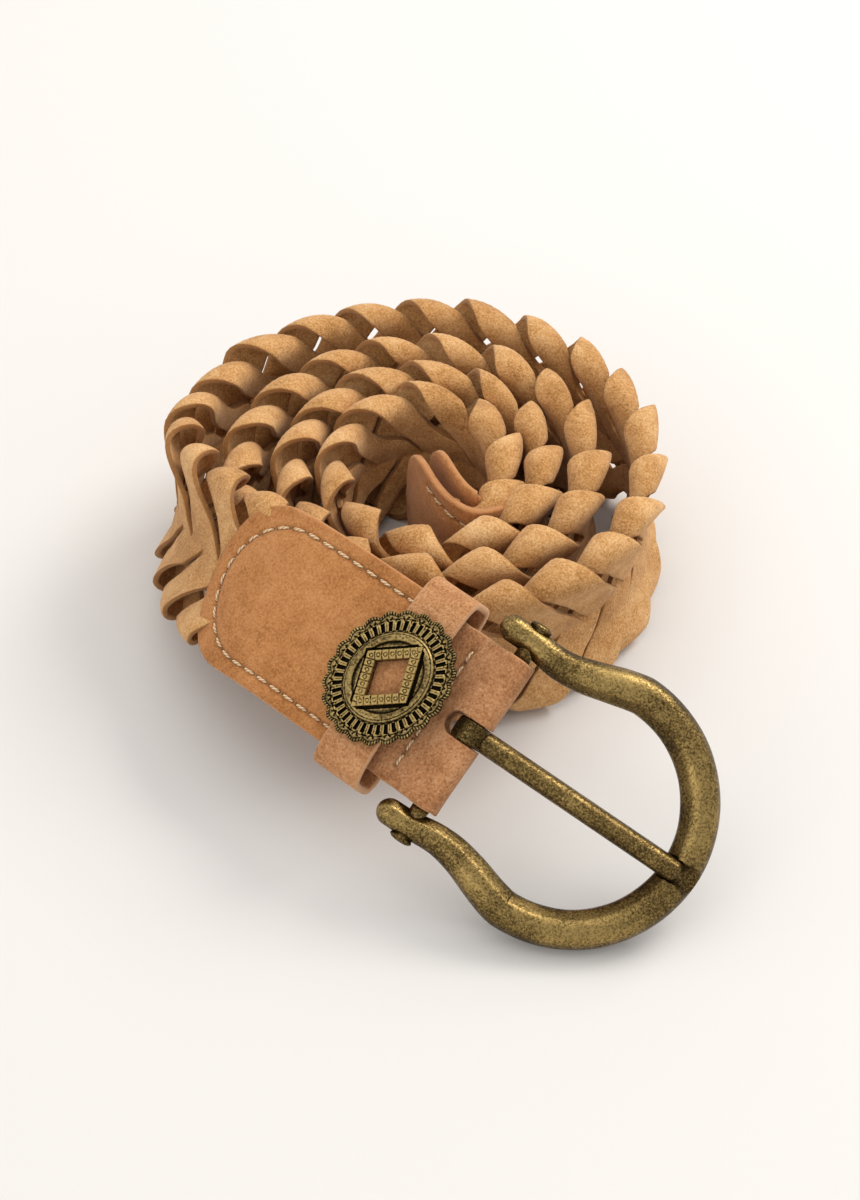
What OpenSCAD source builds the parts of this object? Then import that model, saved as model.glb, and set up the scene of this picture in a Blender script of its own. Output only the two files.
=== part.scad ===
// Braided suede belt, rolled on its edge, with a horseshoe buckle.
// Frame: X right, Y away, Z up; origin under the middle of the whole part.
// The strap follows one centre line: tip, coil, rise and the straight buckle tab.

/* [Strap] */
// Width of the belt
belt_w = 40; // [32:1:48]
// Width of one suede thong
thong_w = 9.5; // [7:0.5:11]
// Thickness of the thong suede
thong_t = 1.6; // [1:0.1:2]
// Length of strap in which a thong crosses to the far edge and back
braid_period = 72; // [56:2:88]
// Radius with which a thong folds round the edge of the belt
fold_r = 2.9; // [2.5:0.1:3.1]
// Distance that a thong sinks from its fold to the middle of the belt
braid_sink = 1.6; // [1.2:0.1:1.8]
// Thickness of the panel suede
panel_t = 1.8; // [1.2:0.1:2.4]
// Clear gap between a front and a back panel, where the thongs end
panel_gap = 3.8; // [3.4:0.1:4.6]
// Depth that the thongs reach under a panel
thong_tuck = 20; // [12:1:24]

/* [Coil] */
// Radius of the coil where its first turn begins
coil_r = 17.3; // [16:0.1:20]
// Growth of the radius over each turn
coil_growth = 8.8; // [8.6:0.1:10]
// Extra growth, which loosens the outer turns
coil_loosening = 0.256; // [0.2:0.01:0.35]
// Number of turns in the coil
coil_turns = 3.42; // [3.36:0.01:3.5]
// How much longer than wide the first turn is
coil_oval = 0.18; // [0.1:0.01:0.24]

/* [Buckle tab] */
// Height of the buckle bar above the middle of the coil
bar_rise = 13; // [12:0.5:18]
// Distance of the buckle bar in front of the coil's axis, beyond half the belt's width
bar_forward = 61.5; // [60:0.5:66]
// Distance of the buckle bar to the right of the coil's axis
bar_side = 9; // [6:0.5:12]
// Length of the tab panels
tab_len = 52; // [46:1:56]
// Distance from the bar to the near end of the tab panels
tab_start = 22; // [20:0.5:25]
// Length of a tongue's rounded end
tongue_len = 15; // [10:1:18]
// Length of the tip panels
tip_len = 40; // [36:1:44]
// Distance from a panel's edge to its seam
seam_inset = 3.7; // [3:0.1:5]
// Length taken by one stitch and the gap after it
stitch_pitch = 3.8; // [3:0.1:5]
// Diameter of the thread
thread_d = 0.8; // [0.6:0.1:1]

/* [Chape] */
// Thickness of the chape suede
chape_t = 1.6; // [1.2:0.1:1.8]
// Length of each chape leg behind the bar
chape_leg = 36; // [30:1:40]
// Length of the prong slot behind the bar
slot_back = 7.5; // [7:0.5:8]

/* [Buckle] */
// Diameter of the buckle bar
bar_d = 4; // [3.4:0.1:4.2]
// Running clearance around the bar, on the radius
bar_fit = 0.1; // [0.05:0.01:0.15]
// Thickness of the frame's arms
arm_d = 6; // [5.5:0.1:6.5]
// Thickness of the frame's bow
bow_d = 8.6; // [8:0.1:9.2]
// Outer width of the bow
bow_w = 63; // [60:1:70]
// Distance from the bar to the far side of the bow
bow_reach = 57.5; // [54:0.5:64]
// Diameter of the prong
prong_d = 5; // [4.4:0.1:5.2]
// Angle by which the frame hangs below the tab
buckle_drop = 21; // [16:0.5:24]

/* [Keeper and concho] */
// Width of the keeper strip
keeper_w = 12; // [10:0.5:14]
// Thickness of the keeper suede
keeper_t = 1.6; // [1.2:0.1:2]
// Distance from the bar to the middle of the keeper
keeper_at = 19.5; // [19:0.5:21]
// Free space between the keeper and the tab
keeper_fit = 0.6; // [0.3:0.1:1]
// Long axis of the concho
concho_long = 32; // [28:1:36]
// Short axis of the concho
concho_short = 27.5; // [24:0.5:32]
// Thickness of the concho's rim
concho_t = 1.4; // [1:0.1:2]
// Long diagonal of the concho's diamond opening
diamond_long = 13; // [10:0.5:15]
// Short diagonal of the concho's diamond opening
diamond_short = 9.5; // [7:0.5:11]
// Turn of the concho from straight across the belt
concho_turn = 18; // [0:1:30]

/* [Hidden] */

strands = 5;
round_n = 48; // facets of round parts

// the tab's own frame: x runs to the bar, y across the belt, z out of its front face
tab_heading = -40;
tab_pitch = -5;
tab_roll = 36;
bar_at = [bar_side, -bar_forward - belt_w/2, bar_rise + belt_w/2];
tab_straight = 44; // straight stretch of strap behind the bar
// middle of the whole part's outline, measured from the coil's axis
part_middle = [-1.2, -28.65, 0];

braid_half = belt_w/2 - thong_t/2 - 0.1; // how far a thong's middle swings to each side
panel_off = panel_gap/2 + panel_t/2;
tab_top = panel_gap/2 + panel_t;

function unit(v) = v/norm(v);
function smooth(x) = let(c = min(1, max(0, x))) c*c*(3 - 2*c);
function bezier(a, b, c, d, t) =
    let(q = 1 - t) q*q*q*a + 3*q*q*t*b + 3*q*t*t*c + t*t*t*d;

// ---- centre line of the strap ----
function coil_radius(t) = coil_r + coil_growth*t + coil_loosening*t*t*t;
function coil_stretch(t) = 1 + coil_oval*pow(1 - t/coil_turns, 2);
function coil_point(t) =
    let(r = coil_radius(t), a = 360*t)
    [r*cos(a), r*sin(a)*coil_stretch(t), belt_w/2];

function turn_x(a, p) = [p[0], p[1]*cos(a) - p[2]*sin(a), p[1]*sin(a) + p[2]*cos(a)];
function turn_y(a, p) = [p[0]*cos(a) + p[2]*sin(a), p[1], p[2]*cos(a) - p[0]*sin(a)];
function turn_z(a, p) = [p[0]*cos(a) - p[1]*sin(a), p[0]*sin(a) + p[1]*cos(a), p[2]];
function tab_dir(p) = turn_z(tab_heading, turn_y(-tab_pitch, turn_x(tab_roll, p)));
tab_across = tab_dir([0, 1, 0]);

tip_end = [-2, 9, belt_w/2];
tip_aim = unit([0.25, -0.97, 0]);
tip_pull = 36;
coil_pull = 20;
coil_in = unit(coil_point(0.01) - coil_point(0));
exit_from = coil_point(coil_turns);
exit_aim = unit(coil_point(coil_turns) - coil_point(coil_turns - 0.01));
exit_pull = 38;
tab_from = bar_at + tab_dir([-tab_straight, 0, 0]);
tab_pull = 30;

// g runs from -1 to 0 along the tip, then counts turns, then 1 for the rise and 1 for the tab
function line_at(g) =
    g < 0 ? bezier(tip_end, tip_end + tip_pull*tip_aim,
        coil_point(0) - coil_pull*coil_in, coil_point(0), g + 1)
    : g < coil_turns ? coil_point(g)
    : g < coil_turns + 1 ? bezier(exit_from, exit_from + exit_pull*exit_aim,
        tab_from - tab_pull*tab_dir([1, 0, 0]), tab_from, g - coil_turns)
    : tab_from + (g - coil_turns - 1)*tab_straight*tab_dir([1, 0, 0]);
function across_at(g) =
    let(k = smooth(g - coil_turns)) (1 - k)*[0, 0, 1] + k*tab_across;

line_g = concat([for (i = [0:23]) -1 + i/24],
    [for (i = [0:159]) coil_turns*i/160],
    [for (i = [0:40]) coil_turns + i/20]);
line_pts = [for (g = line_g) line_at(g)];
line_s = [for (i = 0, s = 0; i < len(line_pts);
    s = i < len(line_pts) - 1 ? s + norm(line_pts[i + 1] - line_pts[i]) : s, i = i + 1) s];
line_len = line_s[len(line_s) - 1];
g_of_s = [for (i = [0:len(line_g) - 1]) [line_s[i], line_g[i]]];

// frame of the strap at length s: [point, along, across, out]
function strap(s) =
    let(g = lookup(s, g_of_s), h = 0.002,
        a = unit(line_at(min(g + h, coil_turns + 2)) - line_at(max(g - h, -1))),
        w0 = across_at(g), w = unit(w0 - (w0*a)*a))
    [line_at(g), a, w, cross(a, w)];
function on_strap(f, w, n) = f[0] + w*f[2] + n*f[3] - part_middle;

// ---- sweeping: rings of points joined into one closed skin ----
// the first sides of the ring, as many as swapped says, are split along their other diagonal
module skin(rings, swapped = 0) {
    m = len(rings[0]);
    n = len(rings);
    polyhedron(points = [for (r = rings) each r],
        faces = concat([[for (i = [0:m - 1]) i]],
            [for (j = [0:n - 2], i = [0:m - 1]) each
                let(k = (i + 1) % m, a = j*m + i, b = j*m + k)
                i < swapped ? [[a, a + m, b], [b, a + m, b + m]]
                : [[a, a + m, b + m], [a, b + m, b]]],
            [[for (i = [m - 1:-1:0]) (n - 1)*m + i]]),
        convexity = 12);
}

// ---- thongs ----
// A thong is a straight ribbon on a flat sheet, and the sheet is folded round the belt's edges:
// it comes to each edge behind the others, folds over and leaves in front of them.
tab_far = line_len - tab_start - tab_len; // where the tab's tongue begins
thong_from = tip_len - thong_tuck;
thong_to = tab_far + thong_tuck;
fold_c = braid_half - fold_r; // middle of a fold's arc, across the belt
fold_arc = PI*fold_r/2;
sheet_h = 2*(fold_c + fold_arc); // way round from one edge to the other
braid_angle = atan(2*sheet_h/braid_period);
// how far out of the panels a thong is: 0 under them, 1 in the open braid
function open_braid(s) = min(smooth((s - thong_from)/thong_tuck), smooth((thong_to - s)/thong_tuck));
// section of the folded sheet at way round v0: [across, out]
function sheet(v0) =
    let(j = round(v0/sheet_h), v = v0 - j*sheet_h, q = abs(v), side = j % 2 == 0 ? 1 : -1,
        a = 90*q/fold_arc, u = (q - fold_arc)/(sheet_h/2 - fold_arc))
    q < fold_arc ? [side*(fold_c + fold_r*cos(a)), sign(v)*fold_r*sin(a)]
    : [side*(fold_c - q + fold_arc), sign(v)*(fold_r - braid_sink*smooth(u/0.6))*(1 - pow(u, 4))];
function thong_ring(k, s) =
    let(v0 = 2*sheet_h*(s/braid_period + k/strands - 0.25), step = 0.05, hw = thong_w/2)
    [for (q = [[-1, -1], [0, -1], [1, -1], [1, 1], [0, 1], [-1, 1]])
        let(v = v0 + q[0]*hw*cos(braid_angle), here = s - q[0]*hw*sin(braid_angle),
            e = open_braid(here), d = unit(sheet(v + step) - sheet(v - step)),
            p = sheet(v), z = q[1]*thong_t/2)
        on_strap(strap(here), (p[0]*(0.85 + 0.15*e) - z*d[1]), p[1]*(0.42 + 0.58*e) + z*d[0])];
// rings stand closer where the thong folds
end_gap = 4; // least room between a thong's end and the next ring
ring_ways = [-0.5, -0.36, -0.22, -0.11, 0, 0.11, 0.22, 0.36];
module thong(k) {
    half = braid_period/2;
    at = [for (j = [0:ceil(thong_to/half) + 1], w = ring_ways)
        let(s = (j + w + 0.5 - 2*k/strands)*half)
        if (s > thong_from + end_gap && s < thong_to - end_gap) s];
    color("burlywood")
        skin([for (s = concat([thong_from], at, [thong_to])) thong_ring(k, s)], 2);
}
// ---- stitched panels at both ends ----
// half width of a panel at x from its rounded end
function tongue_half(x, w) =
    w*pow(1 - pow(max(0, 1 - x/tongue_len), 2.4), 1/2.4);
// place at length x along a panel of length len, denser where its end is round
function panel_x(len, i, n) =
    let(q = i/n) i <= n/2 ? tongue_len*pow(2*q, 2) : tongue_len + (len - tongue_len)*(2*q - 1);
module panel(s0, len, dir, off, both = false) {
    n = 24;
    xs = [for (i = [0:n]) max(0.05, panel_x(len, i, n))];
    rings = [for (x = xs)
        let(f = strap(s0 + dir*x), free = both ? min(x, max(0.05, len - x)) : x,
            h = tongue_half(free, belt_w/2))
        [for (q = [[-1, -1], [1, -1], [1, 1], [-1, 1]])
            on_strap(f, q[0]*h, off + q[1]*panel_t/2)]];
    skin(dir > 0 ? rings : [for (i = [n:-1:0]) rings[i]]);
}
// stitches along both long sides and round the tongue, on both faces
module seam(s0, len, dir, len_end) {
    hw = belt_w/2 - seam_inset;
    side_n = floor((len - seam_inset - tongue_len - len_end)/stitch_pitch);
    for (face = [-1, 1], edge = [-1, 1], i = [0:side_n - 1])
        stitch(s0 + dir*(tongue_len + seam_inset + (i + 0.5)*stitch_pitch), edge*hw, 0, face);
    arc_n = round(PI*(hw + tongue_len)/2/stitch_pitch);
    for (face = [-1, 1], i = [0:arc_n - 1]) {
        a = -90 + 180*(i + 0.5)/arc_n;
        stitch(s0 + dir*(seam_inset + tongue_len*(1 - cos(a))), hw*sin(a),
            dir*atan2(hw*cos(a), tongue_len*sin(a)), face);
    }
}
module stitch(s, w, angle, face) {
    f = strap(s);
    l = 0.68*stitch_pitch;
    top = panel_gap/2 + panel_t;
    along = [cos(angle), sin(angle)];
    rings = [for (x = [-l/2, l/2]) [for (q = [[-1, -1], [1, -1], [1, 1], [-1, 1]])
        let(a = x*along[0] - q[0]*thread_d/2*along[1], b = x*along[1] + q[0]*thread_d/2*along[0],
            n = face*(top + q[1]*thread_d*0.3))
        f[0] + a*f[1] + (w + b)*f[2] + n*f[3] - part_middle]];
    skin(face > 0 ? rings : [rings[1], rings[0]]);
}
module tab_front_panel() { color("peru") panel(tab_far, tab_len, 1, panel_off); }
module tab_back_panel() { color("peru") panel(tab_far, tab_len, 1, -panel_off); }
module tab_stitching() { color("wheat") seam(tab_far, tab_len, 1, 3); }
module tip_front_panel() { color("peru") panel(tip_len, tip_len, -1, panel_off, true); }
module tip_back_panel() { color("peru") panel(tip_len, tip_len, -1, -panel_off, true); }
module tip_stitching() { color("wheat") seam(tip_len, tip_len, -1, tongue_len); }

// ---- pieces in the tab's frame: x to the bar, y across, z out ----
module on_tab() {
    translate(bar_at - part_middle) rotate([tab_roll, -tab_pitch, tab_heading]) children();
}

chape_w = belt_w - 2;
eye_r = bar_d/2 + bar_fit; // inside of what turns on the bar
chape_in = eye_r; // inside radius of the chape's fold
chape_out = chape_in + chape_t;
slot_w = prong_d + 1;
leg_z = panel_gap/2 - chape_t - 0.05; // inner side of a chape leg between the panels
chape_merge = 9; // distance from the bar at which the legs have come together

// space between the chape's legs, narrowing from the bar to where they meet
module chape_hollow() {
    rotate([90, 0, 0]) cylinder(r = chape_in, h = 2*belt_w, center = true, $fn = round_n);
    rotate([90, 0, 0]) linear_extrude(2*belt_w, center = true)
        polygon([[0.5, 0.9*chape_in], [-chape_merge, leg_z], [-chape_leg - 1, leg_z],
            [-chape_leg - 1, -leg_z], [-chape_merge, -leg_z], [0.5, -0.9*chape_in]]);
}
module chape() {
    leg_top = leg_z + chape_t;
    color("tan") on_tab() difference() {
        union() {
            rotate([90, 0, 0]) cylinder(r = chape_out, h = chape_w, center = true, $fn = round_n);
            rotate([90, 0, 0]) linear_extrude(chape_w, center = true)
                polygon([[0.5, 0.98*chape_out], [-chape_merge, leg_top], [-chape_leg, leg_top],
                    [-chape_leg, -leg_top], [-chape_merge, -leg_top], [0.5, -0.98*chape_out]]);
        }
        chape_hollow();
        translate([-slot_back, -slot_w/2, -10]) cube([slot_back + 10, slot_w, 20]);
    }
}
module chape_stitching() {
    n = floor((chape_w - 6)/stitch_pitch);
    at = -(slot_back + 2);
    slope_top = leg_z + chape_t;
    color("wheat") on_tab() for (face = [-1, 1], i = [0:n - 1])
        translate([at, (i - (n - 1)/2)*stitch_pitch, face*slope_top])
            cube([thread_d, 0.68*stitch_pitch, thread_d*0.6], center = true);
}

// ---- keeper ----
crossbar_t = 1.2;
keeper_in_z = tab_top + keeper_fit; // inner side of the keeper behind the tab
keeper_in_top = keeper_in_z + crossbar_t; // inner side over the concho's crossbar
keeper_in_y = belt_w/2 + keeper_fit + 0.8;
module keeper_side(grow) {
    offset(r = grow) hull() for (s = [-1, 1]) {
        translate([s*(keeper_in_y - 2), keeper_in_top - 2]) circle(r = 2, $fn = 32);
        translate([s*(keeper_in_y - 2), -keeper_in_z + 2]) circle(r = 2, $fn = 32);
    }
}
module keeper_loop() {
    color("tan") on_tab() translate([-keeper_at, 0, 0])
        rotate([90, 0, 90]) linear_extrude(keeper_w, center = true) difference() {
            keeper_side(keeper_t);
            keeper_side(0);
        }
}
module keeper_stitching() {
    n = 3;
    color("wheat") on_tab() for (i = [0:n - 1], y = [-4, 4])
        translate([-keeper_at + (i - (n - 1)/2)*stitch_pitch, y, -keeper_in_z - keeper_t])
            cube([0.68*stitch_pitch, thread_d, thread_d*0.6], center = true);
}

// ---- concho ----
scallops = 22;
concho_z = keeper_in_top + keeper_t + 0.2; // underside of the concho
// outline of an oval with a row of scallops round it
function scalloped(a, b, depth, n) = [for (i = [0:n*8 - 1])
    let(t = 360*i/(n*8), k = 1 - depth*(1 - abs(sin(n*t/2)))) [a*k*cos(t), b*k*sin(t)]];
function diamond(long, short) = [[long/2, 0], [0, short/2], [-long/2, 0], [0, -short/2]];
module oval(a, b) { polygon([for (i = [0:59]) [a*cos(6*i), b*sin(6*i)]]); }
module concho() {
    a = concho_long/2;
    b = concho_short/2;
    border = 2.1;
    ring_n = 40;
    color("darkgoldenrod") on_tab() translate([-keeper_at, 0, concho_z]) {
        rotate([0, 0, 90 - concho_turn]) difference() {
            union() {
                linear_extrude(concho_t) polygon(scalloped(a, b, 0.055, scallops));
                linear_extrude(concho_t + 0.7) oval(a*0.66, b*0.66);
                linear_extrude(concho_t + 1.3)
                    polygon(diamond(diamond_long + 2*border*1.3, diamond_short + 2*border));
            }
            translate([0, 0, -1]) linear_extrude(5) polygon(diamond(diamond_long, diamond_short));
            for (i = [0:ring_n - 1]) {
                t = 360*i/ring_n;
                translate([0.79*a*cos(t), 0.79*b*sin(t), concho_t - 0.4])
                    rotate([0, 0, atan2(b*sin(t), a*cos(t))]) translate([-1.2, -0.45, 0]) cube([2.4, 0.9, 2]);
            }
        }
        // crossbar under the keeper strip, on a post at each side of it
        post = keeper_w/2 + keeper_fit;
        translate([-post - 1.6, -1.5, -keeper_t - 0.3 - crossbar_t + 0.2])
            cube([2*post + 3.2, 3, crossbar_t - 0.2]);
        for (m = [0, 1]) mirror([m, 0, 0])
            translate([post, -1.5, -keeper_t - 0.3 - crossbar_t + 0.2])
                cube([1.6, 3, keeper_t + 0.3 + crossbar_t + 0.1]);
    }
}

// ---- buckle: x from the bar to the bow, y across, z up ----
module on_buckle() { on_tab() rotate([0, buckle_drop, 0]) children(); }
arm_y = belt_w/2 + 0.6 + arm_d/2; // middle of an arm where the bar goes through it
bow_c = bow_reach - bow_w/2; // middle of the bow's arc
bow_r = (bow_w - bow_d)/2;
arm_back = arm_d/2 + 2; // how far an arm reaches behind the bar
// half of the frame's centre line: an arm that swings out, then a quarter of the bow
arm_n = 10;
arc_n = 14;
function arm_point(i) =
    let(q = i/arm_n, x = -arm_back + (bow_c + arm_back)*q, k = smooth((x - 4)/(bow_c - 4)))
    [x, arm_y - 1.3*sin(180*min(1, max(0, x/bow_c))) + (bow_r - arm_y)*k, 0];
function half_line() = concat([for (i = [0:arm_n - 1]) arm_point(i)],
    [for (i = [0:arc_n]) [bow_c + bow_r*sin(90*i/arc_n), bow_r*cos(90*i/arc_n), 0]]);
frame_half = half_line();
frame_line = concat(frame_half,
    [for (i = [len(frame_half) - 2:-1:0]) [frame_half[i][0], -frame_half[i][1], 0]]);
function frame_r(p) = let(k = smooth((p[0] + arm_back)/(bow_c + arm_back))) (1 - k)*arm_d/2 + k*bow_d/2;
function frame_ring(i) =
    let(n = len(frame_line), p = frame_line[i],
        run = unit(frame_line[min(n - 1, i + 1)] - frame_line[max(0, i - 1)]),
        side = [run[1], -run[0], 0], r = frame_r(p))
    [for (j = [0:15]) let(a = 22.5*j) p + r*cos(a)*side - r*sin(a)*[0, 0, 1]];
prong_rise = 3.4; // angle at which the prong climbs from the bar to the bow
prong_len = bow_reach - bow_d/2 - 1.4;
prong_gap = 0.15;
module prong_rod(r, len) {
    rotate([0, 90 - prong_rise, 0]) translate([-1.6, 0, 0]) cylinder(r = r, h = len, $fn = round_n);
}
module buckle_frame() {
    color("darkkhaki") on_buckle() difference() {
        union() {
            skin([for (i = [0:len(frame_line) - 1]) frame_ring(i)]);
            for (m = [-1, 1]) translate([-arm_back, m*arm_y, 0]) sphere(d = arm_d, $fn = 32);
        }
        rotate([90, 0, 0]) cylinder(r = bar_d/2, h = 2*belt_w, center = true, $fn = round_n);
        prong_rod(prong_d/2 + prong_gap, bow_reach + 10);
    }
}
bar_half = arm_y + arm_d/2 + 0.8;
module buckle_bar() {
    color("darkkhaki") on_buckle() rotate([90, 0, 0]) {
        cylinder(d = bar_d, h = 2*bar_half, center = true, $fn = round_n);
        for (m = [0, 1]) mirror([0, 0, m]) translate([0, 0, bar_half - 0.8])
            cylinder(d1 = bar_d + 1.4, d2 = bar_d, h = 1.2, $fn = round_n);
    }
}
module prong() {
    color("darkkhaki") on_buckle() difference() {
        union() {
            intersection() {
                prong_rod(prong_d/2, prong_len);
                translate([0, -10, -10]) cube([100, 20, 30]);
            }
            rotate([0, 90 - prong_rise, 0]) translate([-1.6, 0, prong_len])
                sphere(d = prong_d, $fn = round_n);
            rotate([90, 0, 0]) cylinder(r = eye_r + 1.9, h = prong_d, center = true, $fn = round_n);
        }
        rotate([90, 0, 0]) cylinder(r = eye_r, h = 20, center = true, $fn = round_n);
    }
}

thong(0);  // thong_1
thong(1);  // thong_2
thong(2);  // thong_3
thong(3);  // thong_4
thong(4);  // thong_5
tab_front_panel();
tab_back_panel();
tab_stitching();
tip_front_panel();
tip_back_panel();
tip_stitching();
chape();
chape_stitching();
keeper_loop();
keeper_stitching();
concho();
buckle_frame();
buckle_bar();
prong();
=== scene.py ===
"""Braided suede belt, rolled on its edge, with a horseshoe buckle and an oval concho.

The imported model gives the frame: its bodies, its joints and the box of every node.
Lengths below are in millimetres and turn to metres when a mesh is made.
"""
import math
import bpy
import numpy as np
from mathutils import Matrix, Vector


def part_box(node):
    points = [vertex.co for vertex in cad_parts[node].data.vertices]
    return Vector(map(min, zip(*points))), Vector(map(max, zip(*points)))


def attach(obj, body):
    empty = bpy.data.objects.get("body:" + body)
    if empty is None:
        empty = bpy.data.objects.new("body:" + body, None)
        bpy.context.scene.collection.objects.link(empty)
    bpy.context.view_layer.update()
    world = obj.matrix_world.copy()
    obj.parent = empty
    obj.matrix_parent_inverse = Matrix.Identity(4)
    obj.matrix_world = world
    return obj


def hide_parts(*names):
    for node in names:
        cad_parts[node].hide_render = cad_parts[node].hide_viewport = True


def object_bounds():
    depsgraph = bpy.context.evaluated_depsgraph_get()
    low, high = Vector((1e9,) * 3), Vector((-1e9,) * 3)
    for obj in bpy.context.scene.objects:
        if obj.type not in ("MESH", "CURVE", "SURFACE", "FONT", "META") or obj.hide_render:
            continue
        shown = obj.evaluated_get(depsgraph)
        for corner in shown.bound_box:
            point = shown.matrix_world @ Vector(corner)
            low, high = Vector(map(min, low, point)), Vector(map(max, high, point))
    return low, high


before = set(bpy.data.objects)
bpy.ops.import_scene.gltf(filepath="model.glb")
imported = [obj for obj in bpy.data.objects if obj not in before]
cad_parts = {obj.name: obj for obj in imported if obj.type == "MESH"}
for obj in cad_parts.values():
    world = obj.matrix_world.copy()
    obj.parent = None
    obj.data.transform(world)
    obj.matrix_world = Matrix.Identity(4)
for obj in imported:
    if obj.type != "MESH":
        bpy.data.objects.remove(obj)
cad_low, cad_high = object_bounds()

# ---------------------------------------------------------------- sizes of the belt
belt_w = 40.0
thong_w, thong_t, thong_cut, strands = 9.9, 1.6, 1.3, 5
braid_period, fold_r, braid_sink = 72.0, 2.9, 1.6
panel_t, panel_gap, thong_tuck = 1.8, 3.8, 20.0
coil_r, coil_growth, coil_loosening, coil_turns, coil_oval = 17.3, 8.8, 0.256, 3.42, 0.18
tab_straight, tab_len, tab_start, tongue_len, tip_len = 44.0, 52.0, 22.0, 15.0, 40.0
tip_pull, coil_pull, rise_pull, tab_pull = 36.0, 20.0, 38.0, 30.0
seam_inset, stitch_pitch, thread_d = 3.7, 3.8, 0.62
braid_half = belt_w / 2 - thong_t / 2 - 0.1
tab_top = panel_gap / 2 + panel_t
chape_t, chape_leg, chape_w, chape_taper = 1.6, 36.0, 38.0, 10.5
slot_back, slot_seen, slot_w = 7.5, 6.1, 6.0
pin_clearance = 0.1
bar_d, arm_d, bow_d, bow_w, bow_reach, prong_d = 4.0, 6.0, 8.6, 63.0, 57.5, 5.0
keeper_w, keeper_t, keeper_at = 12.0, 1.6, 19.5
keeper_top, keeper_low, keeper_half = 6.3, -5.1, 23.4
# the space behind the tab that the keeper sweeps: its middle and half length, its half width,
# where it starts and how far the braid stays off it
sweep_at, sweep_half, sweep_wide, sweep_from, sweep_clear = -keeper_at - 5, 13, 26, -2, 1.2
concho_long, concho_short, concho_z = 32.0, 27.5, 7.3
diamond_long, diamond_short = 13.0, 9.5


def turn(axis, degrees):
    """Matrix that turns a column of points about one axis."""
    c, s = math.cos(math.radians(degrees)), math.sin(math.radians(degrees))
    return np.array({"x": [[1, 0, 0], [0, c, -s], [0, s, c]],
                     "y": [[c, 0, s], [0, 1, 0], [-s, 0, c]],
                     "z": [[c, -s, 0], [s, c, 0], [0, 0, 1]]}[axis], float)


# the tab's own axes: x runs to the bar, y across the belt, z out of its front face
tab_turn = turn("z", -40) @ turn("y", 5) @ turn("x", 36)
buckle_turn = tab_turn @ turn("y", 21)
concho_turn = turn("z", 72)
bar_low, bar_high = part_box("buckle_bar")
# the middle of the bar's box in mm, and where that lies from the coil's own axis
bar_at = 500 * np.array(bar_low + bar_high)
bar_from_coil = np.array([9.0, -81.5, 33.0])
part_middle = bar_from_coil - bar_at


def on_tab(p):
    """Places points given in the tab's axes."""
    return np.asarray(p, float) @ tab_turn.T + bar_at


def on_buckle(p):
    """Places points given in the buckle's axes: x to the bow, y across, z up."""
    return np.asarray(p, float) @ buckle_turn.T + bar_at


# ---------------------------------------------------------------- centre line of the strap
def unit(v):
    """Rows of length 1."""
    return v / np.linalg.norm(v, axis=-1, keepdims=True)


def smooth(x):
    """Rises from 0 to 1 as x does, level at both ends."""
    c = np.clip(x, 0, 1)
    return c * c * (3 - 2 * c)


def bezier(a, b, c, d, t):
    """Cubic through a and d, pulled by b and c."""
    t = t[:, None]
    return (1 - t) ** 3 * a + 3 * (1 - t) ** 2 * t * b + 3 * (1 - t) * t * t * c + t ** 3 * d


def coil_point(t):
    """Spiral whose radius grows with the turns t and whose inner turns are longer in y."""
    t = np.asarray(t, float)
    r = coil_r + coil_growth * t + coil_loosening * t ** 3
    a = 2 * np.pi * t
    stretch = 1 + coil_oval * (1 - t / coil_turns) ** 2
    return np.stack([r * np.cos(a), r * np.sin(a) * stretch, 0 * t + belt_w / 2], -1)


tab_from = bar_from_coil + tab_turn @ [-tab_straight, 0, 0]
tip_end = np.array([-2.0, 9.0, belt_w / 2])
tip_aim = unit(np.array([0.25, -0.97, 0.0]))
coil_in = unit(coil_point(0.01) - coil_point(0))
coil_out = unit(coil_point(coil_turns) - coil_point(coil_turns - 0.01))


def line_at(g):
    """Tip for g from -1 to 0, then the coil by turns, then the rise, then the straight tab."""
    g = np.asarray(g, float)
    tip = bezier(tip_end, tip_end + tip_pull * tip_aim,
                 coil_point(0) - coil_pull * coil_in, coil_point(0), g + 1)
    rise = bezier(coil_point(coil_turns), coil_point(coil_turns) + rise_pull * coil_out,
                  tab_from - tab_pull * tab_turn[:, 0], tab_from, g - coil_turns)
    tab = tab_from + (g - coil_turns - 1)[:, None] * tab_straight * tab_turn[:, 0]
    pick = np.digitize(g, [0, coil_turns, coil_turns + 1])[:, None]
    return np.choose(pick, [tip, coil_point(g), rise, tab])


line_g = np.concatenate([-1 + np.arange(24) / 24, coil_turns * np.arange(160) / 160,
                         coil_turns + np.arange(41) / 20])
line_s = np.concatenate([[0], np.cumsum(np.linalg.norm(np.diff(line_at(line_g), axis=0), axis=1))])
line_len = line_s[-1]
tab_far = line_len - tab_start - tab_len


def strap(s):
    """Point, run, across and outward directions of the strap at lengths s from its tip."""
    g = np.interp(s, line_s, line_g)
    # the run's direction is the line between two points a little ahead and behind
    ahead, behind = np.minimum(g + 0.002, coil_turns + 2), np.maximum(g - 0.002, -1)
    run = unit(line_at(ahead) - line_at(behind))
    k = smooth(g - coil_turns)[:, None]
    across = (1 - k) * np.array([0, 0, 1.0]) + k * tab_turn[:, 1]
    across = unit(across - (across * run).sum(-1, keepdims=True) * run)
    return line_at(g) - part_middle, run, across, np.cross(run, across)


def place(at, p):
    """Rows of points (along, across, out) set on the strap's frames."""
    point, run, across, out = (v[:, None, :] for v in at)
    return point + p[..., :1] * run + p[..., 1:2] * across + p[..., 2:] * out


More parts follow.
